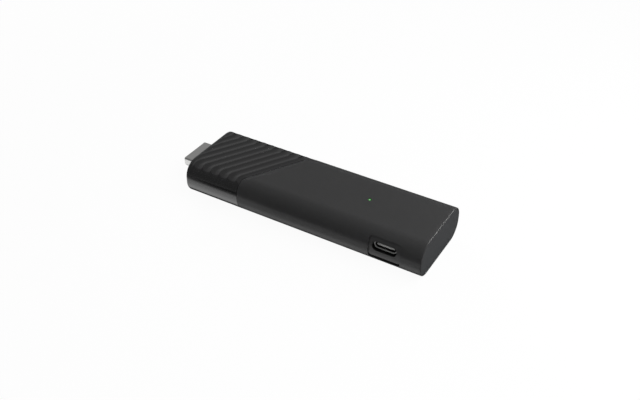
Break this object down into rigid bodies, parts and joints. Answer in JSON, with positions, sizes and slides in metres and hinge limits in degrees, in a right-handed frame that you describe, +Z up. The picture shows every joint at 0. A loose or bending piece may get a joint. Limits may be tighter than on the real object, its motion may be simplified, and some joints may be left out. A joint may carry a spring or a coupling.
{
  "type": "streaming media stick",
  "caption": "Flat bar-shaped media player with a video plug at one end, a diagonally grooved gloss front, a status light on top and a charging port in one side.",
  "frame": {"origin": "centre of the body's flat underside, midway between its two end faces and its two sides, the plug left out", "axes": "+X from the plug towards the end cap, +Z up out of the grooved face, so the charging port is in the -Y side"},
  "size_m": [0.1096, 0.0334, 0.0143],
  "materials": {
    "sleeve_plastic": "fine matt texture",
    "front_plastic": "gloss",
    "inner_plastic": "moulded",
    "connector_plastic": "moulded",
    "light_window": "clear, tinted by the light",
    "plug_steel": "satin plated",
    "port_steel": "satin plated",
    "contact_gold": "gold plated",
    "screw_steel": "blackened",
    "circuit_board": "solder mask",
    "chip_plastic": "moulded",
    "radio_shield": "tinned",
    "shield_steel": "tinned",
    "thermal_pad": "soft",
    "spreader_metal": "mill",
    "antenna_metal": "bright",
    "inductor_ferrite": "ferrite",
    "capacitor_body": "fired",
    "resistor_body": "fired",
    "crystal_can": "bright",
    "led_body": "moulded"
  },
  "bodies": {
    "root": {"main_housing": "sleeve_plastic", "front_housing": "front_plastic", "end_cap": "sleeve_plastic", "port_bezel": "sleeve_plastic", "light_pipe": "light_window", "hdmi_shell": "plug_steel", "hdmi_insulator": "connector_plastic", "hdmi_contacts": "contact_gold", "usb_shell": "port_steel", "usb_tongue": "connector_plastic", "usb_contacts": "contact_gold", "inner_frame": "inner_plastic", "board_screws": "screw_steel", "main_board": "circuit_board", "status_led": "led_body", "processor": "chip_plastic", "memory_chip": "chip_plastic", "flash_chip": "chip_plastic", "power_chip": "chip_plastic", "wifi_module": "radio_shield", "upper_shield_frame": "shield_steel", "upper_shield_lid": "shield_steel", "lower_shield_frame": "shield_steel", "lower_shield_lid": "shield_steel", "processor_pad": "thermal_pad", "flash_pad": "thermal_pad", "upper_spreader_pad": "thermal_pad", "lower_spreader_pad": "thermal_pad", "upper_heat_spreader": "spreader_metal", "lower_heat_spreader": "spreader_metal", "wifi_antenna": "antenna_metal", "bluetooth_antenna": "antenna_metal", "power_inductors": "inductor_ferrite", "bulk_capacitors": "capacitor_body", "small_capacitors": "capacitor_body", "resistors": "resistor_body", "esd_arrays": "chip_plastic", "clock_crystal": "crystal_can"}
  },
  "joints": []
}
